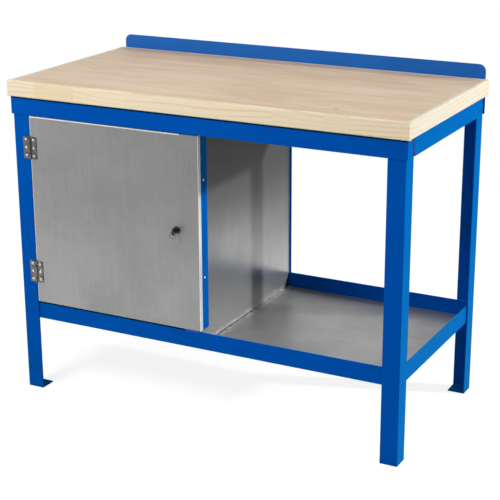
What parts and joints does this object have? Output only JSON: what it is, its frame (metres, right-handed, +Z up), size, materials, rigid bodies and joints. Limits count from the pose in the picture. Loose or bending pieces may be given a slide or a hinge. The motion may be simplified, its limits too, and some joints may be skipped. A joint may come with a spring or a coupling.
{
  "type": "workbench with cupboard",
  "caption": "Welded steel angle workbench with a timber top, low rear upstand, galvanised lower shelf and a half-width galvanised cupboard with a hinged, locking door.",
  "frame": {"origin": "on the floor, at the middle of the bench's box in length and depth", "axes": "+Z up, +X along the bench to the right seen from the front, +Y from the front to the back"},
  "size_m": [1.2, 0.6244, 0.9653],
  "materials": {
    "blue_paint": "satin blue powder coat",
    "galvanised": "matt galvanised sheet with a fine directional sheen",
    "pine": "sanded bare softwood edging",
    "ply_face": "sanded hardwood ply face",
    "core_board": "bare core board",
    "bright_steel": "bright zinc plate",
    "dull_steel": "dull zinc plate",
    "dark_steel": "dull nickel plate"
  },
  "bodies": {
    "bench": {"leg_front_left": "blue_paint", "leg_front_right": "blue_paint", "leg_back_right": "blue_paint", "leg_back_left": "blue_paint", "foot_plate_front_left": "blue_paint", "foot_plate_front_right": "blue_paint", "foot_plate_back_right": "blue_paint", "foot_plate_back_left": "blue_paint", "top_rail_front": "blue_paint", "top_rail_back": "blue_paint", "top_rail_left": "blue_paint", "top_rail_right": "blue_paint", "lower_rail_front": "blue_paint", "lower_rail_back": "blue_paint", "lower_rail_left": "blue_paint", "lower_rail_right": "blue_paint", "worktop_core": "core_board", "worktop_face": "ply_face", "lipping_front": "pine", "lipping_back": "pine", "lipping_left": "pine", "lipping_right": "pine", "upstand": "blue_paint", "upstand_screw_1": "bright_steel", "upstand_screw_2": "bright_steel", "upstand_screw_3": "bright_steel", "lower_shelf": "galvanised", "cupboard_stile": "blue_paint", "cupboard_rear_stile": "blue_paint", "cupboard_panel_right": "galvanised", "cupboard_panel_left": "galvanised", "cupboard_panel_back": "galvanised", "panel_rivet_1": "bright_steel", "panel_rivet_2": "bright_steel", "hinge_lower_leg_leaf": "dull_steel", "hinge_lower_pin": "dull_steel", "hinge_lower_leg_screw_1": "bright_steel", "hinge_lower_leg_screw_2": "bright_steel", "hinge_lower_leg_screw_3": "bright_steel", "hinge_upper_leg_leaf": "dull_steel", "hinge_upper_pin": "dull_steel", "hinge_upper_leg_screw_1": "bright_steel", "hinge_upper_leg_screw_2": "bright_steel", "hinge_upper_leg_screw_3": "bright_steel"},
    "door": {"door_panel": "galvanised", "hinge_lower_door_leaf": "dull_steel", "hinge_upper_door_leaf": "dull_steel", "hinge_lower_door_screw_1": "bright_steel", "hinge_lower_door_screw_2": "bright_steel", "hinge_lower_door_screw_3": "bright_steel", "hinge_upper_door_screw_1": "bright_steel", "hinge_upper_door_screw_2": "bright_steel", "hinge_upper_door_screw_3": "bright_steel", "lock_body": "dark_steel", "lock_nut": "bright_steel"},
    "lock_barrel": {"lock_plug": "dark_steel", "lock_cam": "bright_steel", "cam_screw": "bright_steel"},
    "key": {"key": "dark_steel"},
    "key_ring": {"key_ring": "dark_steel"}
  },
  "joints": [
    {"name": "door_swing", "type": "hinge", "parent": "bench", "child": "door", "pos_m": [-0.5387, -0.28595, 0.552], "axis": [0, 0, -1], "range_deg": [0, 170]},
    {"name": "lock_turn", "type": "hinge", "parent": "door", "child": "lock_barrel", "pos_m": [-0.0645, -0.275, 0.56], "axis": [0, 1, 0], "range_deg": [0, 90]},
    {"name": "key_pull", "type": "slide", "parent": "lock_barrel", "child": "key", "axis": [0, -1, 0], "range_m": [0, 0.02]},
    {"name": "ring_swing", "type": "hinge", "parent": "key", "child": "key_ring", "pos_m": [-0.0645, -0.30665, 0.56], "axis": [0, 1, 0], "range_deg": [-40, 40]}
  ]
}
